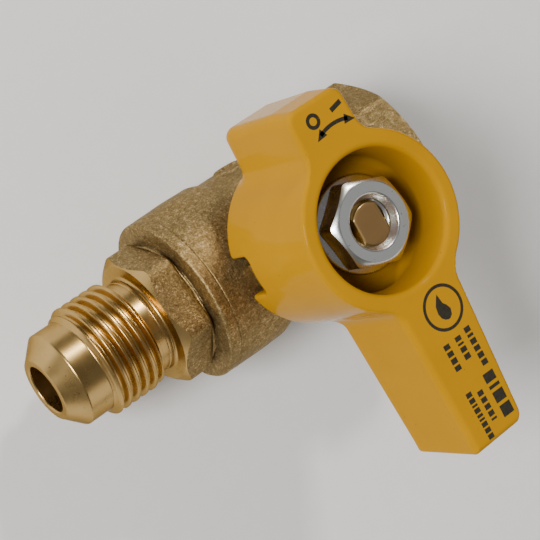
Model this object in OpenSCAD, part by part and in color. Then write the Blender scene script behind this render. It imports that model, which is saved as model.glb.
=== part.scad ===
// Quarter-turn gas ball valve: 3/8 flare by 1/2 female pipe, closed, lever across the pipe.
// Millimetres. The origin is the centre of the female mouth. +X points out of that mouth along
// the pipe, the flare points to -X, and +Z points up along the stem.

/* [Pipe line] */
// Distance from the stem axis to the face of the female end
fip_reach = 22.6; // [22:0.1:28]
// Distance from the stem axis to the tip of the flare nose
flare_reach = 37.6; // [37:0.1:44]
// Radius of the gas way through the flare end
flow_r = 3.4; // [2.6:0.05:3.6]

/* [Body] */
// Radius of the barrel where the tailpiece screws in
barrel_r = 11.9; // [11.4:0.05:12]
// Radius of the chamber round the ball
chamber_r = 11.3; // [10.8:0.05:11.6]
// Distance across the flats of the octagonal female end
octagon_af = 24.4; // [24:0.1:26]
// Radius of the bonnet that holds the stem
bonnet_r = 7.5; // [6.6:0.1:7.6]
// Height of the bonnet's top face above the pipe axis
bonnet_top = 18.4; // [17.6:0.1:19]

/* [Female pipe thread] */
// Pitch of the 14 threads-per-inch pipe thread
fip_pitch = 1.814; // [1.7:0.001:1.9]
// Radius of the female thread's crests, drawn parallel
fip_crest_r = 9.25; // [9.1:0.05:9.5]
// Number of full turns in the female end
fip_turns = 6; // [4:1:6]

/* [Flare end] */
// Radius over the crests of the 5/8-18 flare thread
flare_thread_r = 7.9; // [7.6:0.02:8]
// Pitch of the 18 threads-per-inch flare thread
flare_pitch = 1.411; // [1.3:0.001:1.5]
// Number of full thread turns on the flare end
flare_turns = 5; // [3:1:5]
// Distance across the flats of the tailpiece hexagon
hexagon_af = 17.5; // [16.8:0.1:18]
// Turn of the tailpiece hexagon when it is screwed home, in degrees
hexagon_turn = 18; // [0:1:59]

/* [Ball and stem] */
// Radius of the ball
ball_r = 7.1; // [6.8:0.05:7.2]
// Radius of the stem's shank
shank_r = 4; // [3.8:0.05:4.2]
// Running clearance between the stem and the body
stem_clearance = 0.05; // [0.02:0.01:0.08]
// Radius over the thread at the top of the stem
stem_thread_r = 3.05; // [3:0.01:3.15]
// Distance between the two flats of the stem's top
stem_flats = 4.1; // [3.9:0.1:4.6]

/* [Handle] */
// Height of the handle's top face above the pipe axis
handle_top = 31.3; // [30.6:0.1:33]
// Height of the cup's lower edge above the pipe axis
cup_base = 12.2; // [12.2:0.1:12.8]
// Radius of the cup at its top edge
cup_top_r = 11.2; // [11:0.1:11.6]
// Radius of the cup at its lower edge
cup_base_r = 11.7; // [11.6:0.1:11.8]
// Distance from the stem axis to the end of the lever
lever_reach = 31.5; // [26:0.5:36]
// Width of the lever where it meets the cup
lever_root_w = 10.4; // [9:0.1:11]
// Width of the lever at its end
lever_end_w = 8.6; // [7.6:0.1:9.4]
// Distance from the stem axis to the end of the rear tab
tab_reach = 17.6; // [15:0.1:18]

/* [Nut] */
// Distance across the flats of the handle nut
nut_af = 10.6; // [10:0.1:11]
// Radius of the nut's flange
nut_flange_r = 6.3; // [6.2:0.05:6.8]

/* [Hidden] */
$fn = 96;
eps = 0.01;
fit_gap = 0.06;

// Places along the pipe, measured from the stem axis
joint_x = -14.45;          // face where the collar meets the body
collar_front_x = -16.2;
hexagon_rear_x = -16.6;
hexagon_front_x = -21.4;
neck_end_x = -23.6;
nose_rear_x = -31.9;       // end of the plain land behind the cone
nose_land_r = 6.8;
nose_tip_r = 4.45;
neck_r = 6.7;
waist_r = 8.25;            // between the hexagon and the collar
octagon_front_x = 12.7;
barrel_end_x = -6;

// Inside the body
chamber_bore_r = 8.15;
chamber_front_x = -8.6;
seat_r = 6.85;
seat_hole_r = 4.1;
seat_near_x = 4.3;
seat_far_x = 7.35;
port_r = 4.2;
thread_bottom_x = 10.2;
joint_thread_r = 9;
joint_thread_root_r = 8.45;
joint_pitch = 1;
joint_turns = 5;
joint_first_x = -13.1;

// Up the stem
slot_w = 3;
slot_floor = 4.8;
tang_w = 2.8;
flange_r = 5.1;
flange_bottom = 8.3;
flange_top = 9.1;
washer_top = 9.9;
groove_floor_r = 2.75;
groove_h = 1.7;
lower_groove = 12.1;
upper_groove = 15.1;
o_ring_section = 0.62;
shoulder = 19.8;
stem_top = 28.2;
nut_seat = 24.9;
nut_rim = 25.4;
nut_cone_top = 26.2;
nut_top = 29.1;
stem_pitch = 0.907;
stem_turns = 3;

// Handle
cavity_r = 10;
recess_floor_r = 8.3;
recess_rim_r = 9.15;
notch_w = 5.3;
notch_h = 4;
notch_corner = 1;
lever_drop_root = 14.4;    // depth of the lever at the cup and at its end
lever_drop_end = 13.6;
tab_drop = 17.7;
lug_start = 175;           // the body's stop lug: first angle, span and outer radius
lug_span = 20;
lug_r = 9.6;
stop_gap = 1.2;            // angle left free at each limit
rib_span = 12;
rib_r = 8.1;
travel = 90;

cast_brass = [0.62, 0.52, 0.33];
turned_brass = [0.80, 0.62, 0.30];
handle_yellow = [0.85, 0.62, 0.05];

// Ring-shaped stand-in for a thread: points [radius, place] with one crest per turn
function thread_rings(first, turns, pitch, root, crest) = [
    for (turn = [0 : turns - 1]) let (place = first + turn * pitch)
        each [[root, place - 0.4 * pitch], [crest, place - 0.07 * pitch],
            [crest, place + 0.07 * pitch], [root, place + 0.4 * pitch]]
];

// Moves a child from stem-centred coordinates into the part's frame
module from_stem() translate([-fip_reach, 0, 0]) children();

// Turns an outline of [radius, place along X] round the pipe axis
module turned(outline) rotate([0, 90, 0]) rotate_extrude() polygon(outline);

// Solid cylinder along the pipe axis from one X to another
module along_pipe(r, from, to, sides = 96) translate([from, 0, 0]) rotate([0, 90, 0])
    cylinder(r = r, h = to - from, $fn = sides);

// Prism with a given distance across its flats, along the pipe axis
module wrench_prism(sides, across, from, to, turn = 0) rotate([turn, 0, 0])
    along_pipe(across / 2 / cos(180 / sides), from, to, sides);

// Part of a ring round the stem, between two angles
module ring_sector(inner, outer, bottom, top, start, span)
    rotate([0, 0, start]) rotate_extrude(angle = span)
        translate([inner, bottom]) square([outer - inner, top - bottom]);

// Round bar with two flats, for the stem's top and the hole that fits it
module double_d(r, flats, bottom, top) intersection() {
    translate([0, 0, bottom]) cylinder(r = r, h = top - bottom);
    translate([-flats / 2, -r - 1, bottom]) cube([flats, 2 * r + 2, top - bottom]);
}

// ---- Body ----

module body_outside() {
    turned([[0, joint_x], [barrel_r, joint_x], [barrel_r, barrel_end_x], [chamber_r, barrel_end_x + 1.6],
        [chamber_r, octagon_front_x - 0.4], [0, octagon_front_x - 0.4]]);
    intersection() {
        wrench_prism(8, octagon_af, octagon_front_x - 1.1, fip_reach);
        turned([[0, octagon_front_x - 1.1], [chamber_r - 0.1, octagon_front_x - 1.1],
            [chamber_r + 2.5, octagon_front_x + 0.35], [chamber_r + 2.5, fip_reach - 0.9],
            [chamber_r + 0.6, fip_reach], [0, fip_reach]]);
    }
    cylinder(r = bonnet_r, h = bonnet_top);
    ring_sector(bonnet_r - 0.5, lug_r, chamber_r - 4, 16.6, lug_start, lug_span);
}

module body_inside() {
    // female thread, widened at the mouth, then the port and the inlet seat's pocket
    turned(concat(
        [[0, seat_near_x - 0.2], [seat_r + fit_gap, seat_near_x - 0.2],
            [seat_r + fit_gap, seat_far_x + fit_gap], [port_r, seat_far_x + fit_gap],
            [port_r, thread_bottom_x - 0.6], [fip_crest_r, thread_bottom_x]],
        thread_rings(fip_reach - 1.4 - (fip_turns - 1) * fip_pitch, fip_turns, fip_pitch,
            fip_crest_r, fip_crest_r + 1.25),
        [[fip_crest_r, fip_reach - 0.4], [fip_crest_r + 1.2, fip_reach + 0.3], [0, fip_reach + 0.3]]));
    // ball chamber and the thread for the tailpiece
    turned(concat(
        [[0, joint_x - 1], [joint_thread_root_r + fit_gap, joint_x - 1]],
        thread_rings(joint_first_x, joint_turns, joint_pitch,
            joint_thread_root_r + fit_gap, joint_thread_r + fit_gap),
        [[joint_thread_root_r + fit_gap, chamber_front_x], [chamber_bore_r + fit_gap, chamber_front_x],
            [chamber_bore_r + fit_gap, seat_near_x], [0, seat_near_x]]));
    // stem way, and the pocket for its flange and washer
    cylinder(r = shank_r + stem_clearance, h = bonnet_top + 1);
    cylinder(r = flange_r + 0.2, h = washer_top + 0.05);
}

module valve_body() color(cast_brass) from_stem() difference() {
    body_outside();
    body_inside();
}

// ---- Tailpiece ----

module flare_tailpiece() color(turned_brass) from_stem() {
    last_crest_x = neck_end_x - 1.15 - (flare_turns - 1) * flare_pitch;
    turned(concat(
        [[flow_r, -flare_reach], [nose_tip_r, -flare_reach],
            [nose_land_r, -flare_reach + nose_land_r - nose_tip_r], [nose_land_r, nose_rear_x],
            [flare_thread_r - 0.87, nose_rear_x + 0.2]],
        thread_rings(last_crest_x, flare_turns, flare_pitch, flare_thread_r - 0.87, flare_thread_r),
        [[neck_r, neck_end_x], [neck_r, hexagon_front_x + 0.4], [waist_r, hexagon_front_x + 0.4],
            [waist_r, collar_front_x], [barrel_r - 0.4, collar_front_x],
            [barrel_r - 0.05, collar_front_x + 0.45], [barrel_r - 0.05, joint_x],
            [joint_thread_root_r, joint_x]],
        thread_rings(joint_first_x, joint_turns, joint_pitch, joint_thread_root_r, joint_thread_r),
        [[joint_thread_root_r, chamber_front_x - 0.1], [chamber_bore_r, chamber_front_x - 0.1],
            [chamber_bore_r, -seat_near_x], [seat_r + fit_gap, -seat_near_x],
            [seat_r + fit_gap, -seat_far_x - fit_gap], [flow_r, -seat_far_x - fit_gap]]));
    difference() {
        intersection() {
            wrench_prism(6, hexagon_af, hexagon_front_x, hexagon_rear_x, hexagon_turn);
            turned([[0, hexagon_front_x], [hexagon_af / 2 - 0.1, hexagon_front_x],
                [hexagon_af / 2 + 1, hexagon_front_x + 1], [hexagon_af / 2 + 1, hexagon_rear_x],
                [0, hexagon_rear_x]]);
        }
        along_pipe(neck_r, hexagon_front_x - 1, hexagon_rear_x + 1);
    }
}

// ---- Ball and seats ----

module ball() color("silver") from_stem() difference() {
    sphere(r = ball_r);
    rotate([90, 0, 0]) cylinder(r = flow_r, h = 3 * ball_r, center = true);
    translate([-ball_r - 1, -slot_w / 2, slot_floor]) cube([2 * ball_r + 2, slot_w, ball_r]);
}

module seat_ring() difference() {
    turned([[seat_hole_r, seat_near_x], [seat_r, seat_near_x],
        [seat_r, seat_far_x], [seat_hole_r, seat_far_x]]);
    sphere(r = ball_r + 0.05);
}

module seat_ring_inlet() color("white") from_stem() seat_ring();

module seat_ring_outlet() color("white") from_stem() mirror([1, 0, 0]) seat_ring();

// ---- Stem and its seals ----

module stem() color(turned_brass) from_stem() {
    // tang that turns the ball
    translate([-3.6, -tang_w / 2, slot_floor + 0.2]) cube([7.2, tang_w, flange_bottom - slot_floor]);
    rotate_extrude() polygon([[0, flange_bottom], [flange_r, flange_bottom], [flange_r, flange_top],
        [shank_r, flange_top],
        [shank_r, lower_groove], [groove_floor_r, lower_groove], [groove_floor_r, lower_groove + groove_h],
        [shank_r, lower_groove + groove_h],
        [shank_r, upper_groove], [groove_floor_r, upper_groove], [groove_floor_r, upper_groove + groove_h],
        [shank_r, upper_groove + groove_h], [shank_r, shoulder], [0, shoulder]]);
    // double-D top with the nut's thread
    intersection() {
        rotate_extrude() polygon(concat(
            [[0, shoulder - eps], [stem_thread_r, shoulder - eps], [stem_thread_r, nut_seat - 0.4],
                [stem_thread_r - 0.5, nut_seat]],
            thread_rings(nut_seat + 0.75, stem_turns, stem_pitch, stem_thread_r - 0.5, stem_thread_r),
            [[stem_thread_r - 0.1, stem_top - 0.2], [stem_thread_r - 0.3, stem_top], [0, stem_top]]));
        double_d(stem_thread_r + 1, stem_flats, shoulder - eps, stem_top);
    }
}

module stem_thrust_washer() color("white") from_stem() rotate_extrude()
    translate([shank_r + stem_clearance, flange_top]) square([flange_r - shank_r, washer_top - flange_top]);

module o_ring(groove) rotate_extrude()
    translate([groove_floor_r + o_ring_section + 0.02, groove + groove_h / 2]) circle(r = o_ring_section);

module stem_o_ring_lower() color("black") from_stem() o_ring(lower_groove);

module stem_o_ring_upper() color("black") from_stem() o_ring(upper_groove);

// ---- Handle ----

// Cup with the nut's recess above its web and room for the bonnet below it
module handle_cup() difference() {
    rotate_extrude() polygon([[0, shoulder], [cavity_r - 0.2, shoulder], [cavity_r, cup_base],
        [cup_base_r, cup_base], [cup_top_r, handle_top], [recess_rim_r, handle_top],
        [recess_floor_r, nut_seat], [0, nut_seat]]);
    // notch in the lower edge, facing the flare
    rotate([0, 0, 180]) rotate([90, 0, 90]) translate([0, cup_base - 1, 0])
        linear_extrude(height = 20) {
            translate([-notch_w / 2, 0]) square([notch_w, notch_h + 1 - notch_corner]);
            translate([-notch_w / 2 + notch_corner, 0]) square([notch_w - 2 * notch_corner, notch_h + 1]);
            for (side = [-1, 1]) translate([side * (notch_w / 2 - notch_corner), notch_h + 1 - notch_corner])
                circle(r = notch_corner);
        }
}

// Two ribs under the web that meet the body's lug at the ends of the travel
module stop_ribs() for (start = [lug_start + lug_span + stop_gap, lug_start - travel - stop_gap - rib_span])
    ring_sector(rib_r, cavity_r + 0.3, cup_base + 0.6, shoulder + eps, start, rib_span);

// Lever: its plan and its side view, each extruded, where the two overlap
module lever() intersection() {
    translate([0, 0, cup_base]) linear_extrude(height = handle_top - cup_base) {
        corner = 1.8;
        left_x = -lever_end_w / 2 - 0.3;
        polygon([[left_x, -cup_top_r + 2], [left_x + lever_root_w, -cup_top_r + 2],
            [lever_end_w / 2, -lever_reach + corner], [lever_end_w / 2 - corner, -lever_reach],
            [-lever_end_w / 2 + 0.3, -lever_reach], [-lever_end_w / 2, -lever_reach + 0.3]]);
        translate([lever_end_w / 2 - corner, -lever_reach + corner]) circle(r = corner);
    }
    rotate([90, 0, 90]) translate([0, 0, -lever_root_w])
        linear_extrude(height = 2 * lever_root_w)
            polygon([[-cup_top_r + 2, handle_top], [-lever_reach, handle_top],
                [-lever_reach, handle_top - lever_drop_end + 1.2],
                [-lever_reach + 1.2, handle_top - lever_drop_end],
                [-cup_top_r + 2, handle_top - lever_drop_root]]);
}

// Short tab behind the cup, nearly as deep as the cup
module tab() intersection() {
    translate([0, 0, cup_base]) linear_extrude(height = handle_top - cup_base) {
        corner = 1.5;
        polygon([[-5.6, cup_top_r - 3], [4.1, cup_top_r - 3],
            [3.4, tab_reach - corner], [-5.2, tab_reach - corner]]);
        translate([-5.2 + corner, tab_reach - 2 * corner]) square([8.6 - 2 * corner, 2 * corner]);
        for (x = [-5.2 + corner, 3.4 - corner]) translate([x, tab_reach - corner]) circle(r = corner);
    }
    rotate([90, 0, 90]) translate([0, 0, -10]) linear_extrude(height = 20) {
        corner = 2.6;
        bottom = handle_top - tab_drop;
        polygon([[0, bottom + corner], [tab_reach, bottom + corner], [tab_reach, handle_top - 5],
            [tab_reach - 0.5, handle_top], [0, handle_top]]);
        translate([0, bottom]) square([tab_reach - corner, tab_drop - 0.5]);
        translate([tab_reach - corner, bottom + corner]) circle(r = corner);
    }
}

module handle() color(handle_yellow) from_stem() {
    difference() {
        union() {
            handle_cup();
            difference() {
                union() {
                    lever();
                    tab();
                }
                translate([0, 0, cup_base - 1]) cylinder(r = cup_top_r - 0.6, h = 30);
            }
        }
        double_d(stem_thread_r + 0.08, stem_flats + 0.16, shoulder - 1, nut_seat + 1);
    }
    stop_ribs();
}

module handle_nut() color("gainsboro") from_stem() difference() {
    union() {
        rotate_extrude() polygon([[0, nut_seat], [nut_flange_r, nut_seat], [nut_flange_r, nut_rim],
            [nut_af / 2 - 0.1, nut_cone_top], [0, nut_cone_top]]);
        intersection() {
            rotate([0, 0, 40]) translate([0, 0, nut_rim])
                cylinder(r = nut_af / sqrt(3), h = nut_top - nut_rim, $fn = 6);
            rotate_extrude() polygon([[0, nut_rim], [nut_af, nut_rim], [nut_af, nut_top - 3.6],
                [nut_af / 2 - 0.2, nut_top], [0, nut_top]]);
        }
    }
    rotate_extrude() polygon(concat(
        [[0, nut_seat - 1], [stem_thread_r + 0.4, nut_seat - 1], [stem_thread_r + 0.4, nut_seat + 0.1],
            [stem_thread_r - 0.45, nut_seat + 0.35]],
        thread_rings(nut_seat + 0.75, stem_turns, stem_pitch, stem_thread_r - 0.45, stem_thread_r + 0.05),
        [[stem_thread_r + 0.05, nut_top - 1.2], [stem_thread_r + 0.6, nut_top],
            [stem_thread_r + 0.6, nut_top + 1], [0, nut_top + 1]]));
}

valve_body();
flare_tailpiece();
ball();
seat_ring_inlet();
seat_ring_outlet();
stem();
stem_thrust_washer();
stem_o_ring_lower();
stem_o_ring_upper();
handle();
handle_nut();
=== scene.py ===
"""Looks for the gas ball valve: metal surfaces, coated handle, print, floor, lights and camera.

Lengths are in millimetres, measured from the stem axis, as the part's own design has them.
A point becomes metres in the part's frame only when it goes into a mesh.
"""
import math
import bpy
import numpy as np
from mathutils import Matrix, Vector


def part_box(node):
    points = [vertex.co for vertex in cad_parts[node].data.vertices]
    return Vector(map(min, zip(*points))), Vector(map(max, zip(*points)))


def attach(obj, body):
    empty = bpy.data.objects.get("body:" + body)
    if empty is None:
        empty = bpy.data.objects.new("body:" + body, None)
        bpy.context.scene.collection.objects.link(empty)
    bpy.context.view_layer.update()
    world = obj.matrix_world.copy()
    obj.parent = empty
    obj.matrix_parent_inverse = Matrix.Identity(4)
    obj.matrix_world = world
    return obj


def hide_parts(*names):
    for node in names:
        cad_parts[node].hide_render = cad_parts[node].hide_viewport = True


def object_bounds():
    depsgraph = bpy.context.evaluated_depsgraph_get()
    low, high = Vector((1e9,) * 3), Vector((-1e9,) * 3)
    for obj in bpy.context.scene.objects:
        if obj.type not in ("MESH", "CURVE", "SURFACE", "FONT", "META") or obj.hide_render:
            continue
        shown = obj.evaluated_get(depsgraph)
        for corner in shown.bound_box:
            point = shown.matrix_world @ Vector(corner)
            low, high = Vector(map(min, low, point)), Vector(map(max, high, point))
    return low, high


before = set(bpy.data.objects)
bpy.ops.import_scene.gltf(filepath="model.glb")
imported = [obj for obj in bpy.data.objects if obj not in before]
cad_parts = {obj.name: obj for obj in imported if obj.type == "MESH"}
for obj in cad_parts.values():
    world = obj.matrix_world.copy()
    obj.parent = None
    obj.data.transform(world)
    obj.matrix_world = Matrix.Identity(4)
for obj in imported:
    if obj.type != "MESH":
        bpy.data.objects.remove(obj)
cad_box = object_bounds()

MM = 0.001


# ---------------------------------------------------------------- places taken from the frame

def box_mm(node):
    """Lowest and highest corner of a CAD node in millimetres, measured from the stem axis."""
    low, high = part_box(node)
    return np.array(low) / MM - STEM, np.array(high) / MM - STEM


stem_low, stem_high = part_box("stem")
STEM = np.array([(stem_low.x + stem_high.x) / 2 / MM, 0, 0])      # the stem axis's place in the frame

body_low, body_high = box_mm("valve_body")
tail_low, _ = box_mm("flare_tailpiece")
cup_low, cup_high = box_mm("handle")
nut_low, nut_high = box_mm("handle_nut")
_, stem_high = box_mm("stem")

MOUTH_X = body_high[0]
JOINT_X = body_low[0]
TIP_X = tail_low[0]
HANDLE_TOP = cup_high[2]
CUP_BASE = cup_low[2]
LEVER_END = cup_low[1]
TAB_END = cup_high[1]
NUT_SEAT = nut_low[2]
NUT_TOP = nut_high[2]
NUT_FLANGE_R = nut_high[0]
STEM_TOP = stem_high[2]

# body and tailpiece
BARREL_R = 11.88
CHAMBER_R = 11.28
OCTAGON_R = 12.2
OCTAGON_X = 12.7
FIP_R = 9.25
FIP_PITCH = 25.4 / 14
BONNET_R = 7.5
BONNET_TOP = 18.4
FLOW_R = 3.4
PORT_R = 4.2
CHAMBER_BORE_R = 7.96
SEAT_POCKET_R = 6.91
SEAT_X = 4.3                      # where the seat pocket meets the chamber
SEAT_BACK_X = 7.41
JOINT_ROOT_R = 8.45               # thread that joins the tailpiece to the body
JOINT_BORE_R = 8.51
JOINT_END_X = -8.7
STEM_POCKET_R = 5.3               # room for the stem's flange and washer
STEM_POCKET_TOP = 9.95
NOSE_TIP_R = 4.45
NOSE_R = 6.8
NOSE_END_X = -32.1
FLARE_R = 7.88
FLARE_PITCH = 25.4 / 18
NECK_R = 6.7
HEXAGON_R = 8.75
HEXAGON_TURN = math.radians(18)
HEXAGON_FRONT_X = -21.4
HEXAGON_REAR_X = -16.7
COLLAR_X = -16.2

# stem
SHANK_R = 4.0
SHANK_TOP = 19.8
STEM_THREAD_R = 3.05
STEM_PITCH = 0.907
STEM_HALF_FLAT = 2.05
FLANGE_BOTTOM = 8.3
FLANGE_TOP = 9.1
GROOVE_FLOOR_R = 2.75
GROOVES = ((12.1, 13.8), (15.1, 16.8))

# handle
CUP_TOP_R = 11.2
CUP_BASE_R = 11.7
RECESS_R = 9.1
RECESS_FLOOR_R = 8.5
CAVITY_R = 10
WEB_BOTTOM = 19.8
TOP_FACE = HANDLE_TOP - 0.02      # the printed marks lie on this face

AROUND = 288          # points round a turned surface


# ---------------------------------------------------------------- meshes from rings of points

def make_object(name, points, faces, materials, face_material=None, normals=None):
    """A smooth mesh object from points in millimetres and faces of three or four corners each."""
    mesh = bpy.data.meshes.new(name)
    mesh.from_pydata(((points + STEM) * MM).tolist(), [], faces.tolist())
    for material in materials:
        mesh.materials.append(material)
    if face_material is not None:
        mesh.polygons.foreach_set("material_index", np.asarray(face_material, np.int32))
    mesh.polygons.foreach_set("use_smooth", np.ones(len(mesh.polygons), bool))
    if normals is not None:
        mesh.normals_split_custom_set_from_vertices(normals.tolist())
    mesh.update()
    made = bpy.data.objects.new(name, mesh)
    bpy.context.scene.collection.objects.link(made)
    return made


class Turned:
    """A body of rings round an axis, in strips. Strips share no points, so each edge is crisp."""

    def __init__(self, axis, around=AROUND):
        self.axis = axis
        self.angle = np.arange(around) * 2 * math.pi / around
        self.points = []
        self.faces = []
        self.material = []
        self.count = 0

    def strip(self, rings, material=0):
        """rings: a list of (place along the axis, radius); either may change with the angle."""
        rows = []
        for along, radius in rings:
            along = np.broadcast_to(along, self.angle.shape)
            radius = np.broadcast_to(radius, self.angle.shape)
            across = (radius * np.cos(self.angle), radius * np.sin(self.angle))
            order = (along, *across) if self.axis == "x" else (*across, along)
            rows.append(np.stack(order, axis=1))
        grid = np.array(rows)
        n_rows, n_round = grid.shape[:2]
        row, col = np.meshgrid(np.arange(n_rows - 1), np.arange(n_round), indexing="ij")
        nxt = (col + 1) % n_round
        near, far = row * n_round, (row + 1) * n_round
        corner = [near + col, near + nxt, far + nxt, far + col]
        faces = np.stack([c.ravel() for c in corner], axis=1) + self.count
        self.points.append(grid.reshape(-1, 3))
        self.faces.append(faces)
        self.material += [material] * len(faces)
        self.count += n_rows * n_round

    def make(self, name, materials):
        points, faces = np.concatenate(self.points), np.concatenate(self.faces)
        return make_object(name, points, faces, materials, self.material)


def line(start, end, steps):
    """Rings evenly spaced from one (place, radius) to another."""
    return [(start[0] + (end[0] - start[0]) * t, start[1] + (end[1] - start[1]) * t)
            for t in np.linspace(0, 1, steps + 1)]


def arc(centre, radius, first, last, steps=8):
    """Rings along an arc in the plane of the axis. Angles are in degrees from the axis direction."""
    return [(centre[0] + radius * math.cos(a), centre[1] + radius * math.sin(a))
            for a in np.radians(np.linspace(first, last, steps + 1))]


def smooth_step(x):
    x = np.clip(x, 0, 1)
    return x * x * (3 - 2 * x)


def prism_radius(angle, sides, apothem, turn, rounding):
    """Radius of a regular prism at an angle, with its corners rounded off."""
    step = 2 * math.pi / sides
    local = (angle - turn + step / 2) % step - step / 2
    sharp = apothem / np.cos(local)
    corner = apothem / math.cos(step / 2)
    blunt = corner - rounding
    return smooth_min(sharp, blunt + 0 * sharp, rounding)


def smooth_min(a, b, k):
    h = np.clip(0.5 + 0.5 * (b - a) / k, 0, 1)
    return b + (a - b) * h - k * h * (1 - h)


def smooth_max(a, b, k):
    return -smooth_min(-a, -b, k)


def thread_form(turns):
    """Height of a rounded 60 degree thread, 0 to 1, at a place counted in turns of its helix."""
    off = np.abs((turns + 0.5) % 1 - 0.5)
    return smooth_step((0.42 - off) / 0.34) ** 0.8


# ---------------------------------------------------------------- shapes from a distance field

def field_mesh(distance, low, high, cell):
    """Mesh of a distance function's zero level: one point in each cell it crosses."""
    counts = np.ceil((np.array(high) - low) / cell).astype(int) + 1
    axes = [low[i] + cell * np.arange(counts[i]) for i in range(3)]
    value = np.empty(counts, np.float32)
    for i, x in enumerate(axes[0]):
        y, z = np.meshgrid(axes[1], axes[2], indexing="ij")
        value[i] = distance(np.full_like(y, x), y, z)
    inside = value < 0
    cells = tuple(counts - 1)
    total = np.zeros(cells + (3,), np.float32)
    hits = np.zeros(cells, np.float32)
    for axis in range(3):
        near = [slice(None)] * 3
        far = [slice(None)] * 3
        near[axis] = slice(0, -1)
        far[axis] = slice(1, None)
        a, b = value[tuple(near)], value[tuple(far)]
        cross = (a < 0) != (b < 0)
        along = np.where(cross, a / np.where(cross, a - b, 1), 0)
        others = [k for k in range(3) if k != axis]
        for du in (0, 1):
            for dv in (0, 1):
                part = [slice(None)] * 3
                part[others[0]] = slice(du, cells[others[0]] + du)
                part[others[1]] = slice(dv, cells[others[1]] + dv)
                c, t = cross[tuple(part)], along[tuple(part)]
                hits += c
                total[..., axis] += t
                total[..., others[0]] += c * du
                total[..., others[1]] += c * dv
    used = hits > 0
    index = -np.ones(cells, np.int64)
    index[used] = np.arange(used.sum())
    where = np.argwhere(used)
    points = (where + total[used] / hits[used][:, None]) * cell + low
    faces = []
    for axis in range(3):
        u, v = (axis + 1) % 3, (axis + 2) % 3
        near = [slice(1, -1)] * 3
        far = [slice(1, -1)] * 3
        near[axis] = slice(0, -1)
        far[axis] = slice(1, None)
        first, second = inside[tuple(near)], inside[tuple(far)]
        for flip, mask in ((False, first & ~second), (True, ~first & second)):
            at = np.argwhere(mask)
            at[:, u] += 1
            at[:, v] += 1
            corners = []
            for du, dv in ((-1, -1), (0, -1), (0, 0), (-1, 0)):
                corner = at.copy()
                corner[:, u] += du
                corner[:, v] += dv
                corners.append(index[tuple(corner.T)])
            if flip:
                corners.reverse()
            faces.append(np.stack(corners, axis=1))
    for _ in range(3):
        points, _ = onto_level(distance, points, 0.02)
    _, normals = onto_level(distance, points, 0.05)
    return points, np.concatenate(faces), normals


def onto_level(distance, points, step):
    """Moves points onto the zero level and returns them with the field's unit gradient there."""
    x, y, z = points.T
    here = distance(x, y, z)
    slope = np.stack([
        distance(x + step, y, z) - distance(x - step, y, z),
        distance(x, y + step, z) - distance(x, y - step, z),
        distance(x, y, z + step) - distance(x, y, z - step)], axis=1) / (2 * step)
    size = np.maximum((slope ** 2).sum(axis=1), 0.04)
    move = -(here / size)[:, None] * slope
    length = np.maximum(np.linalg.norm(move, axis=1), 1e-9)
    move *= np.minimum(1, 0.15 / length)[:, None]
    return points + move, slope / np.sqrt(size)[:, None]


def rounded_box(dx, dy, radius):
    """Distance to a rectangle's edge from the distances past each of its sides, with rounded corners."""
    dx, dy = dx + radius, dy + radius
    return np.hypot(np.maximum(dx, 0), np.maximum(dy, 0)) + np.minimum(np.maximum(dx, dy), 0) - radius


# ---------------------------------------------------------------- material building blocks

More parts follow.
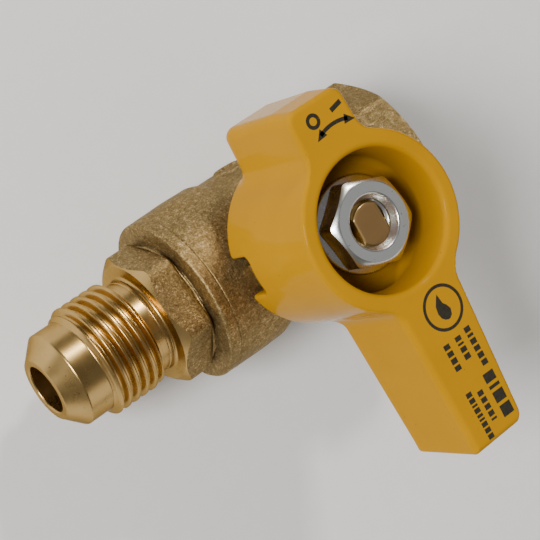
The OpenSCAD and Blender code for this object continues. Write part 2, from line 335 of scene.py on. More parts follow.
class Shader:
    """Short ways to place and join shader nodes in one material."""

    def __init__(self, name):
        self.material = bpy.data.materials.new(name)
        self.material.use_nodes = True
        self.tree = self.material.node_tree
        self.tree.nodes.clear()
        out = self.tree.nodes.new("ShaderNodeOutputMaterial")
        self.surface = self.tree.nodes.new("ShaderNodeBsdfPrincipled")
        self.tree.links.new(self.surface.outputs[0], out.inputs[0])
        self.place = self.tree.nodes.new("ShaderNodeTexCoord").outputs["Object"]

    def node(self, kind, **inputs):
        made = self.tree.nodes.new(kind)
        for key, value in inputs.items():
            self.put(made.inputs[key.replace("_", " ")], value)
        return made

    def put(self, socket, value):
        if isinstance(value, bpy.types.NodeSocket):
            self.tree.links.new(value, socket)
        else:
            socket.default_value = value

    def noise(self, scale, detail=3.0, rough=0.55, place=None):
        """Noise with features about 1/scale metres wide."""
        made = self.node("ShaderNodeTexNoise", Vector=place or self.place, Scale=scale, Detail=detail)
        made.inputs["Roughness"].default_value = rough
        return made.outputs["Fac"]

    def ramp(self, value, stops):
        made = self.node("ShaderNodeValToRGB", Fac=value)
        elements = made.color_ramp.elements
        while len(elements) < len(stops):
            elements.new(0.5)
        for element, (at, colour) in zip(elements, stops):
            element.position = at
            element.color = (*colour, 1)
        return made.outputs["Color"]

    def span(self, value, low, high):
        """Maps 0..1 to low..high."""
        made = self.node("ShaderNodeMapRange", Value=value)
        made.inputs["To Min"].default_value = low
        made.inputs["To Max"].default_value = high
        return made.outputs["Result"]

    def window(self, value, start, end):
        """0 below start, 1 above end."""
        made = self.node("ShaderNodeMapRange", Value=value)
        made.inputs["From Min"].default_value = start
        made.inputs["From Max"].default_value = end
        return made.outputs["Result"]

    def math(self, operation, a, b=0.0):
        made = self.tree.nodes.new("ShaderNodeMath")
        made.operation = operation
        self.put(made.inputs[0], a)
        self.put(made.inputs[1], b)
        return made.outputs[0]

    def mix(self, factor, a, b):
        made = self.tree.nodes.new("ShaderNodeMix")
        made.data_type = "RGBA"
        self.put(made.inputs["Factor"], factor)
        sockets = [s for s in made.inputs if s.type == "RGBA"]
        self.put(sockets[0], a if isinstance(a, bpy.types.NodeSocket) else (*a, 1))
        self.put(sockets[1], b if isinstance(b, bpy.types.NodeSocket) else (*b, 1))
        return [s for s in made.outputs if s.type == "RGBA"][0]

    def axes(self):
        made = self.node("ShaderNodeSeparateXYZ", Vector=self.place)
        return made.outputs

    def length(self, a, b):
        """Length of the two-part vector (a, b)."""
        squares = self.math("ADD", self.math("MULTIPLY", a, a), self.math("MULTIPLY", b, b))
        return self.math("SQRT", squares)

    def bump(self, height, distance, strength):
        made = self.node("ShaderNodeBump", Height=height, Distance=distance, Strength=strength)
        return made.outputs[0]

    def set(self, **inputs):
        for key, value in inputs.items():
            socket = self.surface.inputs[key.replace("_", " ")]
            if isinstance(value, tuple) and len(value) == 3:
                value = (*value, 1)
            self.put(socket, value)


def cast_brass_material():
    """Sand-cast brass: fine grains with bright glints over olive brown, unevenly darkened."""
    s = Shader("cast_brass")
    coarse = s.noise(1500, 3, 0.6)
    fine = s.noise(4300, 3, 0.75)
    patches = s.noise(170, 3)
    grain = s.math("ADD", s.math("MULTIPLY", coarse, 0.35), s.math("MULTIPLY", fine, 0.65))
    colour = s.ramp(grain, [(0.36, (0.13, 0.082, 0.028)), (0.47, (0.27, 0.182, 0.070)),
                            (0.56, (0.41, 0.285, 0.120)), (0.66, (0.90, 0.700, 0.410))])
    colour = s.mix(s.window(patches, 0.35, 0.68), colour, s.mix(0.5, colour, (0.20, 0.145, 0.065)))
    height = s.math("ADD", s.math("MULTIPLY", coarse, 0.8), s.math("MULTIPLY", fine, 0.5))
    s.set(Base_Color=colour, Metallic=0.85, Roughness=s.span(fine, 0.34, 0.48),
          Specular_Tint=(0.5, 0.47, 0.42), Normal=s.bump(height, 0.00014, 0.9))
    return s.material


def turned_brass_material(name, axis, rings=True):
    """Machined brass: bright and smooth, with fine tool marks round the axis and light wear."""
    s = Shader(name)
    x, y, z = s.axes()
    along = x if axis == "x" else z
    across = (y, z) if axis == "x" else (s.math("SUBTRACT", x, float(STEM[0] * MM)), y)
    radius = s.length(*across)
    lines = s.math("ADD", s.math("MULTIPLY", along, 9000.0), s.math("MULTIPLY", radius, 9000.0))
    stripe_place = s.node("ShaderNodeCombineXYZ", X=lines, Y=0.0, Z=0.0).outputs[0]
    stripes = s.noise(1.1, 3, 0.6, place=stripe_place)
    smear = s.noise(260, 4, 0.6)
    spots = s.noise(1500, 2, 0.5)
    colour = s.ramp(smear, [(0.3, (0.50, 0.325, 0.115)), (0.7, (0.60, 0.405, 0.160))])
    dark = s.window(spots, 0.70, 0.76)
    colour = s.mix(s.math("MULTIPLY", dark, 0.55), colour, (0.20, 0.12, 0.05))
    rough = s.span(smear, 0.22, 0.34)
    if axis == "z":
        end = s.window(z, float(STEM_TOP - 0.03) * MM, float(STEM_TOP - 0.01) * MM)
        colour = s.mix(end, colour, (0.38, 0.240, 0.105))
        rough = s.math("ADD", rough, s.math("MULTIPLY", end, 0.30))
    height = s.math("ADD", s.math("MULTIPLY", stripes, 0.8 if rings else 0.25),
                    s.math("MULTIPLY", spots, 0.2))
    s.set(Base_Color=colour, Metallic=1.0, Roughness=rough, Specular_Tint=(0.42, 0.38, 0.33),
          Normal=s.bump(height, 0.0000045, 1.0))
    return s.material


def yellow_material():
    """Gloss yellow powder coat: slightly uneven, faint orange peel, specks, and painted shade darkening
    the nut recess.
    """
    s = Shader("yellow_coating")
    cloud = s.noise(120, 3)
    peel = s.noise(520, 2)
    specks = s.noise(1800, 2)
    colour = s.ramp(cloud, [(0.3, (0.485, 0.232, 0.0015)), (0.7, (0.520, 0.250, 0.0020))])
    colour = s.mix(s.math("MULTIPLY", s.window(specks, 0.735, 0.77), 0.6), colour, (0.16, 0.08, 0.01))
    x, y, z = s.axes()
    off = s.math("SUBTRACT", x, float(STEM[0] * MM))
    rho = s.length(off, y)
    # Painted shade: inside the nut recess the base colour is darkened more the deeper it goes, standing
    # in for the shade that falls there.
    depth = s.window(z, (HANDLE_TOP - 0.4) * MM, (HANDLE_TOP - 5.5) * MM)
    recess_shade = s.math("MULTIPLY", depth, s.window(rho, (RECESS_R + 0.6) * MM, (RECESS_R + 0.2) * MM))
    colour = s.mix(s.math("MULTIPLY", recess_shade, 0.8), colour, (0.170, 0.088, 0.006))
    s.set(Base_Color=colour, Roughness=s.span(cloud, 0.08, 0.13), IOR=1.47, Specular_IOR_Level=0.03,
          Coat_Weight=0.02, Coat_Roughness=0.04, Normal=s.bump(peel, 0.000035, 0.5))
    return s.material


def zinc_material():
    """Bright zinc plate with the faint rainbow of a clear passivate, dulled on the flat faces."""
    s = Shader("zinc_plate")
    drift = s.noise(420, 3, 0.6)
    fine = s.noise(3800, 3, 0.6)
    spots = s.noise(1900, 2)
    tint = s.ramp(drift, [(0.30, (0.62, 0.68, 0.56)), (0.42, (0.70, 0.66, 0.46)),
                          (0.50, (0.74, 0.75, 0.76)), (0.60, (0.76, 0.66, 0.68)),
                          (0.72, (0.60, 0.68, 0.76))])
    colour = s.mix(0.55, tint, (0.70, 0.72, 0.74))
    colour = s.mix(s.math("MULTIPLY", s.window(spots, 0.70, 0.75), 0.6), colour, (0.12, 0.12, 0.12))
    s.set(Base_Color=colour, Metallic=1.0, Roughness=s.span(drift, 0.20, 0.34),
          Normal=s.bump(fine, 0.00001, 0.6))
    return s.material


def nut_face_material():
    """The nut's faced top: the same plate, blasted matt."""
    s = Shader("zinc_faced")
    fine = s.noise(5200, 3, 0.7)
    spots = s.noise(1300, 2)
    dirt = s.math("MULTIPLY", s.window(spots, 0.69, 0.73), 0.8)
    colour = s.mix(dirt, (0.58, 0.61, 0.62), (0.10, 0.10, 0.09))
    s.set(Base_Color=colour, Metallic=0.85, Roughness=0.46, Normal=s.bump(fine, 0.00002, 0.7))
    return s.material


def chrome_material():
    s = Shader("ball_chrome")
    smear = s.noise(300, 3)
    s.set(Base_Color=(0.72, 0.73, 0.74), Metallic=1.0, Roughness=s.span(smear, 0.05, 0.12),
          Normal=s.bump(smear, 0.000004, 0.4))
    return s.material


def seat_material():
    s = Shader("seat_plastic")
    cloud = s.noise(700, 3)
    colour = s.ramp(cloud, [(0.3, (0.78, 0.78, 0.74)), (0.7, (0.86, 0.86, 0.84))])
    s.set(Base_Color=colour, Roughness=0.42, Normal=s.bump(cloud, 0.00001, 0.4))
    return s.material


def rubber_material():
    s = Shader("seal_rubber")
    fine = s.noise(2500, 3)
    colour = s.ramp(fine, [(0.3, (0.012, 0.012, 0.012)), (0.7, (0.025, 0.025, 0.025))])
    s.set(Base_Color=colour, Roughness=0.55, Normal=s.bump(fine, 0.00001, 0.5))
    return s.material


def ink_material():
    """Pad-printed ink, near black and slightly worn."""
    s = Shader("print_ink")
    wear = s.noise(2400, 4, 0.7)
    colour = s.ramp(wear, [(0.35, (0.018, 0.016, 0.010)), (0.72, (0.035, 0.030, 0.016))])
    s.set(Base_Color=colour, Roughness=s.span(wear, 0.35, 0.55), Normal=s.bump(wear, 0.00001, 0.5))
    return s.material


def floor_material():
    s = Shader("floor_paper")
    tooth = s.noise(300, 3)
    colour = s.ramp(tooth, [(0.3, (0.90, 0.90, 0.90)), (0.7, (0.92, 0.92, 0.92))])
    s.set(Base_Color=colour, Roughness=0.85, Normal=s.bump(tooth, 0.00002, 0.2))
    return s.material


CAST = cast_brass_material()
TURNED_X = turned_brass_material("turned_brass_pipe", "x")
TURNED_Z = turned_brass_material("turned_brass_stem", "z", rings=False)
YELLOW = yellow_material()
ZINC = zinc_material()
ZINC_FACE = nut_face_material()
CHROME = chrome_material()
SEAT = seat_material()
RUBBER = rubber_material()
INK = ink_material()


def wear_material(node, material):
    """Gives a shown CAD node its material."""
    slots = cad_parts[node].data.materials
    slots.clear()
    slots.append(material)


wear_material("ball", CHROME)
for node_name in ("seat_ring_inlet", "seat_ring_outlet", "stem_thrust_washer"):
    wear_material(node_name, SEAT)
for node_name in ("stem_o_ring_lower", "stem_o_ring_upper"):
    wear_material(node_name, RUBBER)


# ---------------------------------------------------------------- the flare tailpiece

def joint_thread(x, angle):
    """Height, 0 to 1, of the thread between tailpiece and body, run out at both of its ends."""
    run_in = smooth_step((x - JOINT_X) / 0.8)
    run_out = smooth_step((JOINT_END_X - x) / 0.5)
    return thread_form(x - angle / (2 * math.pi)) * run_in * run_out


def build_tailpiece():
    t = Turned("x", 384)
    a = t.angle
    t.strip(line((-4.4, 6.9), (-7.35, 6.9), 2), 1)
    t.strip(line((-SEAT_BACK_X, 6.9), (-SEAT_BACK_X, FLOW_R), 2), 1)
    t.strip(line((-SEAT_BACK_X, FLOW_R), (TIP_X + 0.3, FLOW_R), 12), 1)
    t.strip(arc((TIP_X + 0.25, FLOW_R + 0.25), 0.25, 270, 180, 4)
            + line((TIP_X, FLOW_R + 0.35), (TIP_X, NOSE_TIP_R - 0.15), 2)
            + arc((TIP_X + 0.2, NOSE_TIP_R - 0.1), 0.2, 180, 135, 3), 1)
    shoulder_x = TIP_X + NOSE_R - NOSE_TIP_R
    t.strip(line((TIP_X + 0.06, NOSE_TIP_R + 0.03), (shoulder_x - 0.07, NOSE_R - 0.09), 6), 1)
    t.strip([(shoulder_x - 0.07, NOSE_R - 0.09), (shoulder_x + 0.02, NOSE_R - 0.02),
             (shoulder_x + 0.14, NOSE_R)]
            + line((shoulder_x + 0.3, NOSE_R), (NOSE_END_X, NOSE_R), 6), 1)
    # thread, run in from the nose and out to the neck
    root = FLARE_R - 0.84
    rings = []
    for x in np.arange(NOSE_END_X, -23.3, 0.045):
        turns = (x + 30.39) / FLARE_PITCH - a / (2 * math.pi)
        form = thread_form(turns)
        grown = smooth_step((x + 31.75) / 0.9)
        lead_in = NOSE_R + np.maximum(0, x - NOSE_END_X) * 1.1
        crest = np.minimum(FLARE_R, lead_in)
        floor = NOSE_R + (root - NOSE_R) * grown
        radius = floor + np.maximum(crest - floor, 0) * form
        gone = smooth_step((x + 24.55) / 0.9)
        radius = radius * (1 - gone) + np.minimum(radius, NECK_R + 0 * a) * gone
        rings.append((x, radius))
    t.strip(rings, 1)
    t.strip(line((-23.31, NECK_R), (HEXAGON_FRONT_X - 1.0, NECK_R), 6), 1)
    t.strip([(HEXAGON_FRONT_X - 1.0, NECK_R), (HEXAGON_FRONT_X - 0.95, NECK_R + 0.07)]
            + line((HEXAGON_FRONT_X - 0.9, NECK_R + 0.08), (HEXAGON_FRONT_X - 0.4, NECK_R + 0.1), 2)
            + arc((HEXAGON_FRONT_X - 0.4, NECK_R + 0.5), 0.4, 270, 360, 6), 1)
    # hexagon: a faced front, a turned chamfer, then the cast flats
    flat_r = smooth_min(prism_radius(a, 6, HEXAGON_R, HEXAGON_TURN, 0.1), 9.8 + 0 * a, 0.25)
    chamfer_r = HEXAGON_R - 0.1
    slope = 0.85
    edge_x = HEXAGON_FRONT_X + np.maximum(flat_r - chamfer_r, 0.02) * slope
    t.strip(line((HEXAGON_FRONT_X, NECK_R + 0.5), (HEXAGON_FRONT_X, chamfer_r), 4), 1)
    t.strip([(HEXAGON_FRONT_X + (edge_x - HEXAGON_FRONT_X) * k, chamfer_r + (flat_r - chamfer_r) * k)
             for k in np.linspace(0, 1, 5)], 1)
    rows = []
    for k in np.linspace(0, 1, 24):
        x = edge_x + (HEXAGON_REAR_X - edge_x) * k
        back = np.clip((x - HEXAGON_REAR_X + 0.5) / 0.5, 0, 1)
        rows.append((x, flat_r - 0.28 * (1 - np.sqrt(1 - back ** 2))))
    t.strip(rows, 0)
    # waist behind the hexagon, then the collar with its rounded edge
    waist = 8.6
    t.strip([(HEXAGON_REAR_X, flat_r - 0.28),
             (HEXAGON_REAR_X + 0.12, flat_r * 0.5 + (waist + 0.3) * 0.5),
             (HEXAGON_REAR_X + 0.18, waist + 0.25 + 0 * a), (HEXAGON_REAR_X + 0.3, waist + 0 * a)]
            + arc((COLLAR_X - 0.25, waist + 0.25), 0.25, 270, 360, 4)
            + line((COLLAR_X, waist + 0.4), (COLLAR_X, BARREL_R - 0.5), 6)
            + arc((COLLAR_X + 0.4, BARREL_R - 0.43), 0.4, 180, 90, 8)
            + line((COLLAR_X + 0.5, BARREL_R - 0.03), (JOINT_X - 0.06, BARREL_R - 0.03), 6)
            + [(JOINT_X - 0.005, BARREL_R - 0.09)], 0)
    t.strip(line((JOINT_X - 0.005, BARREL_R - 0.09), (JOINT_X - 0.005, JOINT_ROOT_R), 4), 1)
    # the part that is screwed into the body
    t.strip([(x, JOINT_ROOT_R + 0.55 * joint_thread(x, a))
             for x in np.arange(JOINT_X, JOINT_END_X, 0.1)], 1)
    t.strip(line((JOINT_END_X, JOINT_ROOT_R), (JOINT_END_X, 7.9), 1), 1)
    t.strip(line((JOINT_END_X, 7.9), (-4.4, 7.9), 4), 1)
    t.strip(line((-4.4, 7.9), (-4.4, 6.9), 1), 1)
    piece = t.make("tailpiece_shell", [CAST, TURNED_X])
    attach(piece, "valve")
    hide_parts("flare_tailpiece")


# ---------------------------------------------------------------- the body

def cast_marks(x, angle):
    """Height of the raised foundry marks on the barrel's +Y side: a ring and some bars."""
    across = (angle - math.radians(6) + math.pi) % (2 * math.pi) - math.pi
    across = across * BARREL_R
    ring = np.abs(np.hypot(x, across) - 1.8) - 0.32
    bars = [np.maximum(np.abs(x - at) - 0.32, np.abs(across - mid) - half)
            for at, mid, half in ((3.0, 0.4, 2.0), (4.8, -0.3, 1.5))]
    marks = np.minimum.reduce([ring, *bars])
    return 0.32 * smooth_step((0.22 - marks) / 0.44)


def body_radius(x, angle):
    """Outer radius of the casting at a place along the pipe and an angle from +Y towards +Z."""
    waist = smooth_step((x + 6.3) / 2.4)
    radius = BARREL_R + (CHAMBER_R - BARREL_R) * waist
    radius = radius + 0.08 * np.exp(-((x + 10) / 2.2) ** 2)
    octagon = prism_radius(angle, 8, OCTAGON_R, math.pi / 8, 0.15)
    grow = smooth_step((x - OCTAGON_X + 1.0) / 1.6)
    radius = radius + (octagon - radius) * grow
    return radius + cast_marks(x, angle) * (1 - grow)


def build_body():
    t = Turned("x", 480)
    a = t.angle
    t.strip([(JOINT_X + 0.005, 9.0), (JOINT_X + 0.005, BARREL_R - 0.09)], 1)
    start = [(JOINT_X + 0.005, BARREL_R - 0.09), (JOINT_X + 0.06, BARREL_R - 0.02),
             (JOINT_X + 0.14, BARREL_R)]
    t.strip(start + [(x, body_radius(x, a)) for x in np.arange(JOINT_X + 0.3, MOUTH_X - 1.0, 0.14)]
            + [(MOUTH_X - 0.9, body_radius(MOUTH_X - 0.9, a))], 0)
    edge = body_radius(MOUTH_X, a)
    face_r = OCTAGON_R + 0.05
    slope = 1 / math.tan(math.radians(62))
    edge_x = MOUTH_X - np.maximum(edge - face_r + 0.35, 0.05) * slope
    t.strip([(MOUTH_X - 0.9 + (edge_x - MOUTH_X + 0.9) * k, edge) for k in np.linspace(0, 1, 5)], 0)
    t.strip([(edge_x + (MOUTH_X - edge_x) * k, edge + (face_r - 0.35 - edge) * k)
             for k in np.linspace(0, 1, 4)], 1)
    t.strip(line((MOUTH_X, face_r - 0.35), (MOUTH_X, FIP_R + 1.15), 4), 1)
    t.strip(line((MOUTH_X, FIP_R + 1.15), (MOUTH_X - 0.75, FIP_R + 0.2), 4), 1)
    rings = []
    for x in np.arange(MOUTH_X - 0.75, 10.25, -0.07):
        form = thread_form((x - MOUTH_X) / FIP_PITCH - a / (2 * math.pi))
        depth = 1.1 * smooth_step((x - 10.6) / 1.2)
        start = smooth_step((MOUTH_X - 0.7 - x) / 0.9)
        rings.append((x, FIP_R + 0.2 * (1 - start) + depth * (1 - form)))
    t.strip(rings, 1)
    # port and seat pocket
    t.strip(line((10.25, FIP_R), (9.6, PORT_R), 4), 1)
    t.strip(line((9.6, PORT_R), (7.4, PORT_R), 2), 1)
    t.strip(line((SEAT_BACK_X, PORT_R), (SEAT_BACK_X, SEAT_POCKET_R), 1), 1)
    t.strip(line((SEAT_BACK_X, SEAT_POCKET_R), (SEAT_X, SEAT_POCKET_R), 2), 1)
    t.strip(line((SEAT_X, SEAT_POCKET_R), (SEAT_X, CHAMBER_BORE_R), 1), 1)
    # ball chamber, with the pocket for the stem's flange let into its top
    up = np.sin(a)
    out = np.maximum(np.abs(np.cos(a)), 1e-3)
    rings = [(SEAT_X, CHAMBER_BORE_R)]
    for x in np.linspace(4.2, -8.65, 90):
        half = math.sqrt(max(STEM_POCKET_R ** 2 - x * x, 0))
        pocket = np.minimum(STEM_POCKET_TOP / np.maximum(up, 0.05), half / out)
        rings.append((x, np.where(up > 0.3, np.maximum(pocket, CHAMBER_BORE_R), CHAMBER_BORE_R)))
    t.strip(rings, 1)
    t.strip(line((-8.65, CHAMBER_BORE_R), (-8.65, 8.5), 1), 1)
    t.strip([(x, JOINT_BORE_R + 0.56 * joint_thread(x, a))
             for x in np.arange(-8.65, JOINT_X + 0.01, -0.1)], 1)
    t.strip(line((JOINT_X + 0.005, 8.5), (JOINT_X + 0.005, 9.0), 1), 1)
    piece = t.make("body_casting", [CAST, TURNED_X])
    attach(piece, "valve")
    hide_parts("valve_body")


def build_bonnet():
    """The neck that holds the stem, filleted into the barrel, with the stop lug."""
    def distance(x, y, z):
        rho = np.hypot(x, y)
        neck = rounded_box(rho - BONNET_R, z - BONNET_TOP, 0.35)
        angle = np.arctan2(y, x)
        off = np.abs((angle - math.radians(185) + math.pi) % (2 * math.pi) - math.pi) * rho
        lug = rounded_box(np.maximum(rho - 9.6, off - math.radians(10) * 9.3), z - 16.6, 0.4)
        shape = smooth_min(neck, lug, 0.6)
        barrel = np.hypot(y, z) - 11.0
        shape = smooth_min(shape, barrel, 1.6)
        shape = smooth_max(shape, rho - 10.9, 0.5)
        shape = np.maximum(shape, 8.6 - z)
        shape = np.maximum(shape, np.minimum(STEM_POCKET_R - rho, STEM_POCKET_TOP - z))
        return smooth_max(shape, SHANK_R + 0.05 - rho, 0.15)
    low = np.array([-11.5, -11.5, 8.0])
    points, faces, normals = field_mesh(distance, low, (11.5, 11.5, 19), 0.22)
    piece = make_object("body_bonnet", points, faces, [CAST], normals=normals)
    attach(piece, "valve")


# ---------------------------------------------------------------- the stem and the nut

def double_d_radius(angle, radius):
    """Radius of the stem's end, with its two flats facing +X and -X."""
    flat = STEM_HALF_FLAT / np.maximum(np.abs(np.cos(angle)), 0.05)
    return smooth_min(flat, radius + 0 * angle, 0.08)


def groove_side(z):
    """The shank's edge and the side of an O-ring groove that starts at this height."""
    return [(z, SHANK_R - 0.05), (z, GROOVE_FLOOR_R)]


def build_stem():
    t = Turned("z", 256)
    a = t.angle
    t.strip(line((5.0, 0.01), (5.0, 1.3), 1) + line((5.05, 1.4), (8.25, 1.4), 2))
    t.strip(line((FLANGE_BOTTOM, 1.4), (FLANGE_BOTTOM, 5.0), 2)
            + [(8.35, 5.08), (8.45, 5.1), (8.95, 5.1), (9.05, 5.07)])
    t.strip([(FLANGE_TOP, 5.0), (FLANGE_TOP, SHANK_R)])
    # shank, with a groove for each O-ring
    t.strip(line((FLANGE_TOP, SHANK_R), (GROOVES[0][0] - 0.05, SHANK_R), 3)
            + groove_side(GROOVES[0][0]))
    t.strip([(z, GROOVE_FLOOR_R) for z in GROOVES[0]])
    t.strip([(GROOVES[0][1], GROOVE_FLOOR_R), (GROOVES[0][1], SHANK_R - 0.05)]
            + line((GROOVES[0][1] + 0.05, SHANK_R), (GROOVES[1][0] - 0.05, SHANK_R), 2)
            + groove_side(GROOVES[1][0]))
    t.strip([(z, GROOVE_FLOOR_R) for z in GROOVES[1]])
    t.strip([(GROOVES[1][1], GROOVE_FLOOR_R), (GROOVES[1][1], SHANK_R - 0.05)]
            + line((GROOVES[1][1] + 0.05, SHANK_R), (SHANK_TOP - 0.1, SHANK_R), 2)
            + [(SHANK_TOP, SHANK_R - 0.1)])
    # double-D end with the nut's thread
    t.strip([(SHANK_TOP, SHANK_R - 0.1), (SHANK_TOP, double_d_radius(a, STEM_THREAD_R))])
    rings = []
    for z in np.arange(SHANK_TOP, STEM_TOP - 0.16, 0.05):
        turns = z / STEM_PITCH - a / (2 * math.pi)
        cut = smooth_step((z - NUT_SEAT + 0.5) / 0.6)
        round_r = STEM_THREAD_R - 0.5 * (1 - thread_form(turns)) * cut
        top = np.clip((z - STEM_TOP + 0.4) / 0.25, 0, 1)
        rings.append((z, double_d_radius(a, round_r - 0.12 * top)))
    t.strip(rings)
    last = rings[-1][1]
    t.strip([(STEM_TOP - 0.16, last), (STEM_TOP - 0.05, last - 0.05), (STEM_TOP, last - 0.16)]
            + [(STEM_TOP, (last - 0.16) * k) for k in (0.8, 0.5, 0.2, 0.002)])
    piece = t.make("stem_turned", [TURNED_Z])
    tang = Turned("z", 64)
    b = tang.angle
    side = np.minimum(3.6 / np.maximum(np.abs(np.cos(b)), 1e-3),
                      1.4 / np.maximum(np.abs(np.sin(b)), 1e-3))
    tang.strip([(5.0, 0.01), (5.0, side - 0.12), (5.12, side), (8.35, side)])
    tang_piece = tang.make("stem_tang", [TURNED_Z])
    for made in (piece, tang_piece):
        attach(made, "handle")
    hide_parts("stem")


def build_nut():
    t = Turned("z", 360)
    a = t.angle
    hex_r = prism_radius(a, 6, 5.3, math.radians(10), 0.16)
    rim_z, rim_r = NUT_SEAT + 0.80, NUT_FLANGE_R - 0.2
    t.strip(line((NUT_SEAT, 3.5), (NUT_SEAT, rim_r), 3) + [(NUT_SEAT + 0.05, NUT_FLANGE_R - 0.03)])
    t.strip([(NUT_SEAT + 0.05, NUT_FLANGE_R - 0.03), (NUT_SEAT + 0.15, NUT_FLANGE_R),
             (NUT_SEAT + 0.62, NUT_FLANGE_R), (NUT_SEAT + 0.74, NUT_FLANGE_R - 0.06), (rim_z, rim_r)])
    # the flange's top slopes up to the foot of the flats
    foot = rim_z + (rim_r - hex_r) * 0.30
    t.strip([(rim_z + (foot - rim_z) * k, rim_r + (hex_r + 0.03 - rim_r) * k)
             for k in np.linspace(0, 1, 8)])
    # flats, the crown's chamfer, the faced ring and the countersink
    crown_r = 4.95
    edge_z = NUT_TOP - np.maximum(hex_r - crown_r, 0.02) * 0.62
    t.strip([(foot + (edge_z - foot) * k, hex_r) for k in np.linspace(0, 1, 10)])
    t.strip([(edge_z + (NUT_TOP - edge_z) * (1 - (1 - k) ** 1.4), hex_r + (crown_r - hex_r) * k)
             for k in np.linspace(0, 1, 8)])
    t.strip(line((NUT_TOP, crown_r), (NUT_TOP, 3.72), 6), 1)
    thread_top = NUT_TOP - 0.95
    t.strip(arc((NUT_TOP - 0.3, 3.72), 0.3, 0, -55, 5)
            + line((NUT_TOP - 0.28, 3.42), (thread_top, 2.95), 5))
    rings = []
    for z in np.arange(thread_top, NUT_SEAT, -0.05):
        form = thread_form(z / STEM_PITCH - a / (2 * math.pi))
        start = smooth_step((thread_top - z) / 0.5)
        rings.append((z, 2.72 + 0.22 * (1 - start) + 0.42 * (1 - form) * start))
    t.strip(rings)
    piece = t.make("nut_plated", [ZINC, ZINC_FACE])
    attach(piece, "handle")
    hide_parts("handle_nut")


# ---------------------------------------------------------------- the handle

def handle_distance(x, y, z):
    """Distance field of the coated handle casting."""
    rho = np.hypot(x, y)
    lean = (CUP_BASE_R - CUP_TOP_R) / (HANDLE_TOP - CUP_BASE)
    wall = rho - (CUP_BASE_R - (z - CUP_BASE) * lean)
    cup = rounded_box(wall - 0.12, z - TOP_FACE, 0.5)
    cup = np.maximum(cup, CUP_BASE - z)
    # lever, with a soft edge on its -X side and a crisp one on the other
    t = np.clip((-y - 9.2) / 20.5, 0, 1)
    end = LEVER_END - y
    left = np.maximum(rounded_box(-x - (4.6 - 0.3 * t), end, 0.5), y + 3)
    right = np.maximum(rounded_box(x - (5.8 - 1.5 * t), end, 1.8), y + 3)
    above = z - TOP_FACE
    lever = np.maximum(rounded_box(left, above, 0.9), rounded_box(right, above, 0.45))
    lever = smooth_max(lever, HANDLE_TOP - 14.4 + 0.8 * t - z, 1.0)
    # tab, leaning outwards towards its foot
    lean_out = np.clip((HANDLE_TOP - z) / 5, 0, 1) * 0.5
    half = 4.6 - 0.3 * np.clip((y - 10) / 7, 0, 1)
    plan = rounded_box(np.abs(x + 0.9) - half, y - TAB_END + 0.5 - lean_out, 1.5)
    plan = np.maximum(plan, 3 - y)
    tab = rounded_box(plan, above, 0.6)
    tab = smooth_max(tab, HANDLE_TOP - 17.7 - z, 2.6)
    shape = smooth_min(cup, lever, 1.5)
    shape = smooth_min(shape, tab, 1.6)
    # nothing may stand above the top face
    shape = np.maximum(shape, above)
    # recess for the nut
    height = np.clip((z - NUT_SEAT) / 6.4, 0, 1.3)
    recess_wall = rho - (RECESS_FLOOR_R + (RECESS_R - RECESS_FLOOR_R) * height)
    recess = rounded_box(recess_wall, NUT_SEAT - z, 1.0)
    shape = smooth_max(shape, -recess, 0.8)
    # room for the bonnet below the web
    cavity = rounded_box(rho - CAVITY_R, z - WEB_BOTTOM, 0.8)
    shape = smooth_max(shape, -cavity, 0.35)
    # notch in the lower edge towards the flare
    notch = rounded_box(np.abs(y) - 2.65, z - CUP_BASE - 4.0, 1.0)
    notch = np.maximum(notch, x + 5)
    shape = smooth_max(shape, -notch, 0.7)
    # hole for the stem
    hole = np.maximum(rho - 3.13, np.abs(x) - 2.13)
    shape = np.maximum(shape, -hole)
    shape = smooth_max(shape, CUP_BASE - z, 0.5)
    # stop ribs under the web
    angle = np.arctan2(y, x)
    for middle in (202.2, 77.8):
        off = np.abs((angle - math.radians(middle) + math.pi) % (2 * math.pi) - math.pi)
        rib = rounded_box(np.maximum(8.1 - rho, rho - 10.3), off * 9 - math.radians(6) * 9, 0.3)
        rib = np.maximum(np.maximum(rib, CUP_BASE + 0.6 - z), z - WEB_BOTTOM - 0.5)
        shape = smooth_min(shape, rib, 0.4)
    return shape


def build_handle():
    low = np.array([-12.3, LEVER_END - 0.6, CUP_BASE - 0.6])
    high = (12.3, TAB_END + 0.6, HANDLE_TOP + 0.6)
    points, faces, normals = field_mesh(handle_distance, low, high, 0.25)
    piece = make_object("handle_coated", points, faces, [YELLOW], normals=normals)
    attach(piece, "handle")
    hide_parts("handle")


# ---------------------------------------------------------------- the print on the handle

class Marks:
    """Flat strips of ink lying on the handle's top face."""

    def __init__(self):
        self.points = []
        self.faces = []

    def band(self, path, widths):
        """A strip along a path of (x, y), with its width at each point."""
        path = np.asarray(path, float)
        widths = np.broadcast_to(np.asarray(widths, float), len(path))
        ahead = np.gradient(path, axis=0)
        ahead /= np.linalg.norm(ahead, axis=1)[:, None]
        side = np.stack([-ahead[:, 1], ahead[:, 0]], axis=1) * widths[:, None] / 2
        first = len(self.points)
        for left, right in zip(path + side, path - side):
            self.points += [(*left, TOP_FACE + 0.012), (*right, TOP_FACE + 0.012)]
        for k in range(first, first + 2 * len(path) - 2, 2):
            self.faces.append((k, k + 1, k + 3, k + 2))

    def arc(self, centre, radius, first, last, width):
        turn = np.radians(np.linspace(first, last, 40))
        ring = [centre[0] + radius * np.cos(turn), centre[1] + radius * np.sin(turn)]
        self.band(np.stack(ring, axis=1), width)

    def dashes(self, x, start, lengths, height, gap=0.28):
        """A row of blocks running towards the lever's end."""
        y = start
        for length in lengths:
            self.band([(x, y), (x - 0.03 * length, y - length)], height)
            y -= length + gap


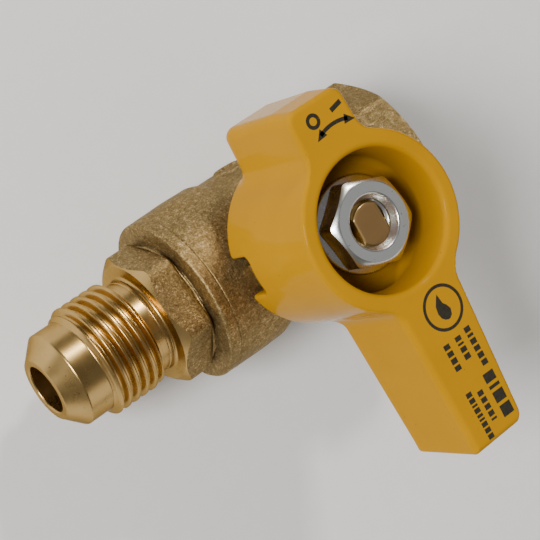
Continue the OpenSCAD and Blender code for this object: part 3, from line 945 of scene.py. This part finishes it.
def build_print():
    """A ring, a bar and a two-way arrow on the tab; a flame in a ring and rows of blocks on the lever."""
    m = Marks()
    m.arc((-2.1, 14.8), 0.76, 0, 360, 0.48)
    m.band([(0.75, 14.75), (2.55, 15.15)], 0.62)
    m.arc((0.17, 7.0), 6.3, 70, 111, 0.50)
    m.band([(1.85, 13.05), (3.25, 12.42)], [1.25, 0.02])
    m.band([(-1.55, 13.08), (-2.85, 12.4)], [1.25, 0.02])
    m.arc((1.45, -13.36), 2.78, 0, 360, 0.42)
    m.band([(1.45, -11.5), (1.3, -12.1), (1.1, -12.8), (1.2, -13.5),
            (1.45, -14.2), (1.5, -14.75), (1.5, -15.0)],
           [0.02, 0.55, 1.15, 1.75, 1.85, 1.2, 0.3])
    m.dashes(3.0, -17.1, (0.75, 0.4, 0.75, 0.7, 0.75, 0.75), 0.95)
    m.dashes(1.2, -17.4, (0.65, 0.3, 0.7, 0.75), 0.95)
    m.dashes(-0.8, -17.4, (0.7, 0.7, 0.75, 0.7), 0.95)
    m.dashes(2.6, -23.5, (1.3, 0.45, 1.5, 1.6), 1.75, 0.45)
    m.dashes(0.3, -24.8, (0.7, 0.7, 0.7, 0.7, 0.3), 0.9)
    m.dashes(-1.3, -24.1, (0.65, 0.65, 0.3, 0.65, 0.4, 0.3, 0.65, 0.65, 0.65), 0.9, 0.22)
    piece = make_object("handle_print", np.array(m.points), np.array(m.faces), [INK])
    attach(piece, "handle")


build_tailpiece()
build_body()
build_bonnet()
build_stem()
build_nut()
build_handle()
build_print()


# ---------------------------------------------------------------- floor, camera and light

def build_floor():
    """A pale sheet under the valve, in a grid of n by n squares."""
    size = 1.2
    n = 24
    grid = np.linspace(-size, size, n + 1)
    x, y = np.meshgrid(grid, grid, indexing="ij")
    level = cad_box[0].z - 0.0002
    mesh = bpy.data.meshes.new("floor_paper")
    points = np.stack([x.ravel(), y.ravel(), np.full(x.size, level)], axis=1)
    faces = [(i * (n + 1) + j, (i + 1) * (n + 1) + j, (i + 1) * (n + 1) + j + 1, i * (n + 1) + j + 1)
             for i in range(n) for j in range(n)]
    mesh.from_pydata(points.tolist(), [], faces)
    mesh.materials.append(floor_material())
    floor = bpy.data.objects.new("floor_paper", mesh)
    bpy.context.scene.collection.objects.link(floor)


def build_camera():
    """From above the flare's side, turned so that the pipe runs from lower left to upper right."""
    place = (Vector((-99.6, 40.26, 199.42)) + Vector(STEM)) * MM
    aim = (Vector((-8.69, -0.60, 15.0)) + Vector(STEM)) * MM
    roll = math.radians(82.145)
    data = bpy.data.cameras.new("camera")
    data.lens = 109.567
    data.sensor_width = 36
    camera = bpy.data.objects.new("camera", data)
    bpy.context.scene.collection.objects.link(camera)
    turn = (aim - place).to_track_quat("-Z", "Y").to_matrix() @ Matrix.Rotation(roll, 3, "Z")
    camera.matrix_world = Matrix.Translation(place) @ turn.to_4x4()
    bpy.context.scene.camera = camera


def area_light(name, place, aim, width, height, power, colour):
    data = bpy.data.lights.new(name, "AREA")
    data.shape = "RECTANGLE"
    data.size = width
    data.size_y = height
    data.energy = power
    data.color = colour
    light = bpy.data.objects.new(name, data)
    bpy.context.scene.collection.objects.link(light)
    light.location = place
    light.rotation_mode = "QUATERNION"
    light.rotation_quaternion = (Vector(aim) - Vector(place)).to_track_quat("-Z", "Y")


def toward(azimuth, elevation, distance):
    """A place at a distance from the valve's middle, in metres. Azimuth runs from +X towards +Y."""
    a, e = math.radians(azimuth), math.radians(elevation)
    middle = Vector((float(STEM[0]) * MM, 0, 0.01))
    return middle + distance * Vector((math.cos(e) * math.cos(a), math.cos(e) * math.sin(a), math.sin(e)))


def build_lights():
    """A softbox on the flare's side, a small bright key and a wide dim card."""
    world = bpy.data.worlds.new("studio")
    world.use_nodes = True
    background = world.node_tree.nodes["Background"]
    background.inputs[0].default_value = (1.0, 0.98, 0.95, 1)
    background.inputs[1].default_value = 0.15
    bpy.context.scene.world = world
    middle = toward(0, 0, 0)
    area_light("main", toward(160, 42, 0.8), middle, 0.24, 0.24, 7.0, (1.0, 0.985, 0.96))
    area_light("key", toward(61, 38, 0.6), middle, 0.06, 0.05, 1.5, (1.0, 0.96, 0.88))
    area_light("card", toward(-62, 22, 0.6), middle, 0.80, 0.40, 0.95, (1.0, 0.97, 0.92))


build_floor()
build_camera()
build_lights()
